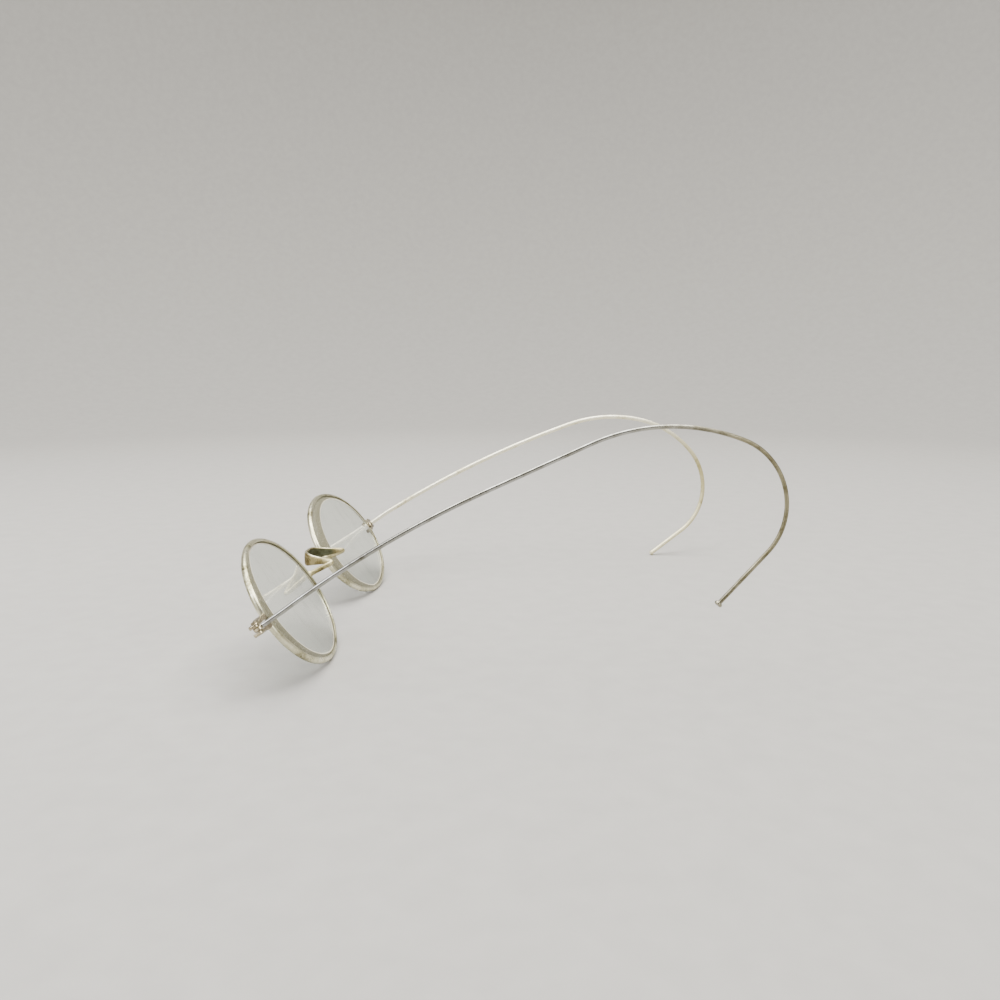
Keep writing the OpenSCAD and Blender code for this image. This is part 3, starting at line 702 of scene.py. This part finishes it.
# %% [markdown]
# ## Joint blocks
# Above and below the cut in each rim a small block is brazed on, and the temple's eye turns
# between the two. They are filed by hand: thick at the rim, thinner at the screw, round at
# the end, with every outer edge eased. A bevel modifier would ease them all alike. Here each
# block is a stack of sections from the rim outwards, square below and eased above, which
# leaves the faces that meet the temple crisp.

# %% Joint blocks
joint_reach = 4.05             # from the pin in to the outer end of the rim
block_seat = 0.6               # and from there in over the rim's wire
block_w = 2.2                  # front to back
block_h = 1.05                 # at the rim
tip_h = 0.7                    # round the screw
block_end = 1.5                # from the pin out to the tip
block_back = 0.85              # behind the pin
head_d = 1.5                   # the screw's head, which sits on a flat
corner_r = 0.8                 # of the two outer corners, seen from above
heel_r = 0.25                  # of the two at the rim
heel_drop, tip_drop = 0.2, 0.3 # how far the top falls over those corners
level_len = 1.6                # the top is level for this length at the rim
soft = 0.28                    # the upper edges are eased by this much
foot_h = 0.1                   # a point this far up keeps the lower edges crisp


def round_off(share):
    """How far a rounded end draws in, from 0 where it begins to 1 at its end."""
    return 1 - np.sqrt(1 - share ** 2)


def at_corners(values):
    """Values at the points of a section: those given at its two eased corners, 0 between them
    and at the two points at the foot of each side."""
    level = np.zeros(len(values))
    return np.concatenate([level[:2], values, level, values[::-1], level[:2]])


def block(side, up):
    """Sections across the block from the rim outwards. Each has a square lower edge, where it
    faces the temple, and eased upper edges; its width and height follow the plan and the fall
    of the top, and both draw in at the two ends. up is 1 above the temple and -1 below it."""
    slot = wire_d[side] + 2 * slot_play
    length = joint_reach + block_seat
    turn = np.linspace(0, math.pi / 2, 12)
    flank = np.linspace(0.35 - length, -0.05, 24)
    x = np.concatenate([-length + heel_r * (1 - np.cos(turn)), flank,
                        block_end - corner_r + corner_r * np.sin(turn)])
    near_rim = np.clip(1 - (x + length) / heel_r, 0, 1)
    near_tip = np.clip(1 - (block_end - x) / corner_r, 0, 1)
    half = block_w / 2 - heel_r * round_off(near_rim) - corner_r * round_off(near_tip)
    fall = np.clip((x + length - level_len) / (length - level_len - head_d / 2), 0, 1)
    height = block_h - (block_h - tip_h) * eased(fall)
    height = height - heel_drop * round_off(near_rim) - tip_drop * round_off(near_tip ** 2)
    corner = np.linspace(0, math.pi / 2, 9)
    across = np.concatenate([np.full(11, -1.0), np.linspace(-0.8, 0.8, 9), np.full(11, 1.0)])
    inward, drop = at_corners(1 - np.cos(corner)), at_corners(1 - np.sin(corner))
    y = block_back - block_w / 2 + across * (half[:, None] - soft * inward)
    z = height[:, None] - soft * drop
    z[:, [0, -1]] = 0.0
    z[:, [1, -2]] = foot_h
    rings = np.stack([x[:, None] + 0 * y, y, up * (slot / 2 + z)], -1)
    rings = rings + [pivot_x, pivot_y, joint_z[side]]
    name = side + ("_upper" if up > 0 else "_lower") + "_block"
    return skin(name, rings * [mirror[side], 1, 1])


for side in mirror:
    for up, word in ((1, "_joint_upper"), (-1, "_joint_lower")):
        fit_out(block(side, up), tarnished_nickel, "front", "frame", side + word)

# %% [markdown]
# ## Screws
# The screws were turned, slotted and darkened by age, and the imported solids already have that
# shape, so they stay and only take a finish.

# %% Screws
for side in mirror:
    screw = frame["nodes"][side + "_hinge_screw"]
    screw.data.materials.clear()
    screw.data.materials.append(dark_steel)

# %% [markdown]
# ## Temples
# Each temple is a single wire: nearly straight from the hinge, a slow bow, a bend over the ear
# and a tighter hook behind it. A free curve would give the same line, but here the bends are
# arcs of stated radius, as they come off a bending jig. The two sides are not alike: the left
# wire is thin steel with a flattened button, the right one is heavier and ends in a ball.

# %% The path of a bent wire
stem_len = 5.2
set_r = 30.0                   # the small bend behind the stem
open_angle = {"left": math.radians(12.0), "right": math.radians(-15.0)}  # inwards, at rest
step = 0.7                     # between the points of a path


def arc_run(radius, degrees):
    """Length and radius of a bend downwards, or upwards where the radius is negative."""
    return abs(radius) * math.radians(degrees), radius


# Stem, set bend, slow bow, shaft or first bend, bend over the ear, hook, straight end
temple_runs = {
    "left": [(stem_len, 0.0), arc_run(-set_r, 1.6), (45.0, 210.0), (22.5, 0.0),
             arc_run(42.3, 44.7), arc_run(13.9, 114.2), (14.2, 0.0)],
    "right": [(stem_len, 0.0), arc_run(set_r, 3.3), (64.5, 315.0), (24.5, 45.5),
              arc_run(30.8, 38.0), arc_run(17.8, 95.5), (12.4, 0.0)]}


def bent(runs):
    """Points and headings along runs of (length, radius), where a radius of 0 is straight:
    the heading falls by length / radius, and the point swings round the centre that lies one
    radius below it."""
    at, heading = np.zeros(2), 0.0
    points, headings = [at[None]], [np.zeros(1)]
    for length, radius in runs:
        reach = np.linspace(0, length, max(3, int(length / step)))[1:]
        if radius == 0:
            turned = heading + 0 * reach
            moved = at + reach[:, None] * [math.cos(heading), math.sin(heading)]
        else:
            turned = heading - reach / radius
            moved = at + radius * np.stack([math.sin(heading) - np.sin(turned),
                                            np.cos(turned) - math.cos(heading)], -1)
        points.append(moved)
        headings.append(turned)
        at, heading = moved[-1], turned[-1]
    return np.concatenate(points), np.concatenate(headings)


def in_temple(side, along, up, out):
    """Temple coordinates, along the shaft, up, and out of its plane, to the worn frame."""
    angle = open_angle[side]
    x = pivot_x - along * math.sin(angle) + out * math.cos(angle)
    y = pivot_y + along * math.cos(angle) + out * math.sin(angle)
    return np.stack([mirror[side] * x, y, joint_z[side] + up + 0 * x], -1)


for side in mirror:
    line, turned = bent(temple_runs[side])
    print(side, "temple ends at", np.round(line[-1], 1),
          "heading", round(math.degrees(turned[-1]), 1))

# %% [markdown]
# ## Temple wires
# A drawn wire is never a perfect cylinder once it has been bent and straightened by hand, so
# its radius wanders by about a hundredth of a millimetre, and it thins a little towards the
# tip. The tip's own shape is only a few more sections with their own radii: a button is a
# sudden flare with a round edge, a ball is a half circle.

# %% Temple wires with their tips
button_r = 0.85
button_thick = 0.8
ball_r = 0.85
ball_from, ball_to = math.pi / 2 - 0.25, 0.06  # angles from the wire's own direction
wander, bumps = 0.006, 40      # the radius wanders by this much, at so many places
thinning = 0.02                # and shrinks by this much along the whole wire
eye_clear = 0.75               # the wire starts this far from the pin, inside its eye


def tip_profile(side):
    """Sections past the end of the wire: rows of distance past the end, radius. The ball's
    stop just short of its pole, which the end fan closes."""
    if side == "left":
        turn = np.linspace(0, math.pi, 17)[:-1]
        round_edge = button_thick / 2
        return np.stack([round_edge * (1 - np.cos(turn)),
                         button_r - round_edge + round_edge * np.sin(turn)], -1)
    turn = np.linspace(ball_from, ball_to, 14)
    return np.stack([ball_r * np.cos(turn), ball_r * np.sin(turn)], -1)


def temple_wire(side):
    """Circles along the bent line, with a seeded wander in radius, and the tip's sections."""
    points, headings = bent(temple_runs[side])
    seed = np.random.default_rng(7 if side == "left" else 8)
    travelled = travelled_along(points)
    uneven = np.interp(travelled, np.linspace(0, travelled[-1], bumps),
                       seed.normal(0, wander, bumps))
    radius = wire_d[side] / 2 - thinning * travelled / travelled[-1] + uneven
    keep = travelled > eye_clear
    points, headings, radius = points[keep], headings[keep], radius[keep]
    tip = tip_profile(side)
    ahead = np.array([math.cos(headings[-1]), math.sin(headings[-1])])
    points = np.concatenate([points, points[-1] + tip[:, :1] * ahead])
    headings = np.concatenate([headings, np.full(len(tip), headings[-1])])
    radius = np.concatenate([radius, tip[:, 1]])
    turn = np.linspace(0, 2 * math.pi, 28, endpoint=False)
    lift = radius[:, None] * np.cos(turn)
    out = radius[:, None] * np.sin(turn)
    along = points[:, :1] - np.sin(headings)[:, None] * lift
    up = points[:, 1:] + np.cos(headings)[:, None] * lift
    return skin(side + "_temple_bow", in_temple(side, along, up, out))


fit_out(temple_wire("left"), steel_wire, "left_temple", "left_temple",
        "left_temple_wire", "left_temple_button")
fit_out(temple_wire("right"), pale_nickel, "right_temple", "frame",
        "right_temple_wire", "right_temple_ball")

# %% [markdown]
# ## Temple eyes
# The end of each wire is hammered flat and drilled for the screw. It is a ring, so its section
# is carried round the pin and joined to itself.

# %% Temple eyes
eye_r = 1.05
screw_r = 0.45
pivot_play = 0.05              # between the screw and the eye
eye_flat = 0.15                # the eye is hammered this much thinner than the wire
eye_ease, bore_ease = 0.12, 0.03


def temple_eye(side):
    """A bevelled rectangle between the bore and the outer radius, carried round the pin."""
    inner, outer = screw_r + pivot_play, eye_r
    half = (wire_d[side] - eye_flat) / 2
    section = np.array([[inner, -half + bore_ease], [inner + bore_ease, -half],
                        [outer - eye_ease, -half], [outer, -half + eye_ease],
                        [outer, half - eye_ease], [outer - eye_ease, half],
                        [inner + bore_ease, half], [inner, half - bore_ease]])
    turn = np.linspace(0, 2 * math.pi, 48, endpoint=False)[:, None]
    along = section[:, 0] * np.cos(turn)
    out = section[:, 0] * np.sin(turn)
    return skin(side + "_temple_ring", in_temple(side, along, section[:, 1], out), loop=True)


fit_out(temple_eye("left"), tarnished_nickel, "left_temple", "left_temple", "left_temple_eye")
fit_out(temple_eye("right"), tarnished_nickel, "right_temple", "frame", "right_temple_eye")

# %% [markdown]
# ## Floor, lights and camera
# Wire shows almost nothing but reflections, so what surrounds it matters more than how bright
# the lights are. The floor is a plain pale dish, flat under the spectacles and rising far off
# on every side, so that no view has a hard horizon. One large soft light hangs overhead, which
# puts a bright line along the top of each wire and leaves its flank dark. Two weaker ones fill
# in, from beside the rims and from beyond the hooks.

# %% Floor
middle_r, flat_r, bend_r, wall_top = 0.3, 0.55, 0.4, 0.62      # in metres
fibre_mm = 6.0


def dish_floor():
    """A flat disc whose edge curves up all round: the radius grows by the sine of the angle
    turned, and the height by one less its cosine. A low wall follows."""
    m = blank("pale_paper")
    here = add(m, "ShaderNodeTexCoord").outputs["Object"]
    fibre = add(m, "ShaderNodeTexNoise", {"Vector": here, "Scale": 1 / (fibre_mm * MM),
                                          "Detail": 4.0})
    tone = ramp(m, fibre.outputs["Fac"], [(0.3, "#A09E9A"), (0.7, "#A5A39F")])
    paper = add(m, "ShaderNodeBsdfPrincipled", {"Base Color": tone, "Roughness": 0.9})
    finish_with(m, paper)
    turn = np.linspace(0, math.pi / 2, 24)
    r = np.concatenate([[middle_r], flat_r + bend_r * np.sin(turn), [flat_r + bend_r]])
    z = np.concatenate([[0.0], bend_r * (1 - np.cos(turn)), [wall_top]])
    sides = 96
    round_it = np.linspace(0, 2 * math.pi, sides, endpoint=False)
    points = np.stack([r[:, None] * np.cos(round_it), r[:, None] * np.sin(round_it),
                       z[:, None] + 0 * round_it], -1).reshape(-1, 3)
    i, k = np.meshgrid(np.arange(len(r) - 1), np.arange(sides), indexing="ij")
    k_next = (k + 1) % sides
    faces = np.stack([i * sides + k, (i + 1) * sides + k, (i + 1) * sides + k_next,
                      i * sides + k_next], -1).reshape(-1, 4)
    mesh = bpy.data.meshes.new("paper_dish")
    mesh.from_pydata(points.tolist(), [], faces.tolist() + [list(range(sides))])
    mesh.shade_smooth()
    mesh.materials.append(m)
    sheet = bpy.data.objects.new("paper_dish", mesh)
    bpy.context.scene.collection.objects.link(sheet)


dish_floor()


# %% Lights
def soft_light(name, place, aim, size, watts, colour):
    """A square area light at place, facing aim, all in metres."""
    data = bpy.data.lights.new(name, "AREA")
    data.shape = "SQUARE"
    data.size = size
    data.energy = watts
    data.color = srgb(colour)[:3]
    lamp = bpy.data.objects.new(name, data)
    lamp.location = place
    lamp.rotation_euler = (Vector(aim) - Vector(place)).to_track_quat("-Z", "Y").to_euler()
    bpy.context.scene.collection.objects.link(lamp)


soft_light("key", (-0.1, 0.0, 0.75), (-0.05, 0, 0), 0.9, 24.0, "#FFFDF8")
soft_light("side_fill", (0.22, -0.42, 0.36), (0, 0, 0), 0.35, 3.4, "#F8F9FF")
soft_light("hook_fill", (0.42, 0.42, 0.26), (0, 0.02, 0.02), 0.25, 1.3, "#FFFDF6")
world = bpy.data.worlds.new("grey_room")
world.use_nodes = True
world.node_tree.nodes["Background"].inputs["Color"].default_value = srgb("#8E8E8E")
world.node_tree.nodes["Background"].inputs["Strength"].default_value = 0.15
bpy.context.scene.world = world

# %% [markdown]
# ## Camera
# The photograph looks along the rims from the wearer's left, about nine degrees downwards.
# The camera's place is given in millimetres from the point midway between the lenses, and the
# focal length is written in pixels of a 1000-pixel picture and turned into a lens on a 36 mm
# sensor.

# %% Camera
camera_from_middle = np.array([228.2, 52.8, 53.95])
look_down = math.radians(9.155)
look_left = math.radians(2.13)
focal_px = 940.0
picture_px = 1000.0
data = bpy.data.cameras.new("photo_camera")
data.sensor_width = 36.0
data.sensor_fit = "HORIZONTAL"
data.lens = focal_px / picture_px * data.sensor_width
data.clip_start = 0.01
camera = bpy.data.objects.new("photo_camera", data)
camera.location = (middle + camera_from_middle) * MM
direction = Vector((-math.cos(look_left) * math.cos(look_down),
                    -math.sin(look_left) * math.cos(look_down), -math.sin(look_down)))
camera.rotation_euler = direction.to_track_quat("-Z", "Y").to_euler()
bpy.context.scene.collection.objects.link(camera)
bpy.context.scene.camera = camera

# %% Finish
bpy.context.view_layer.update()
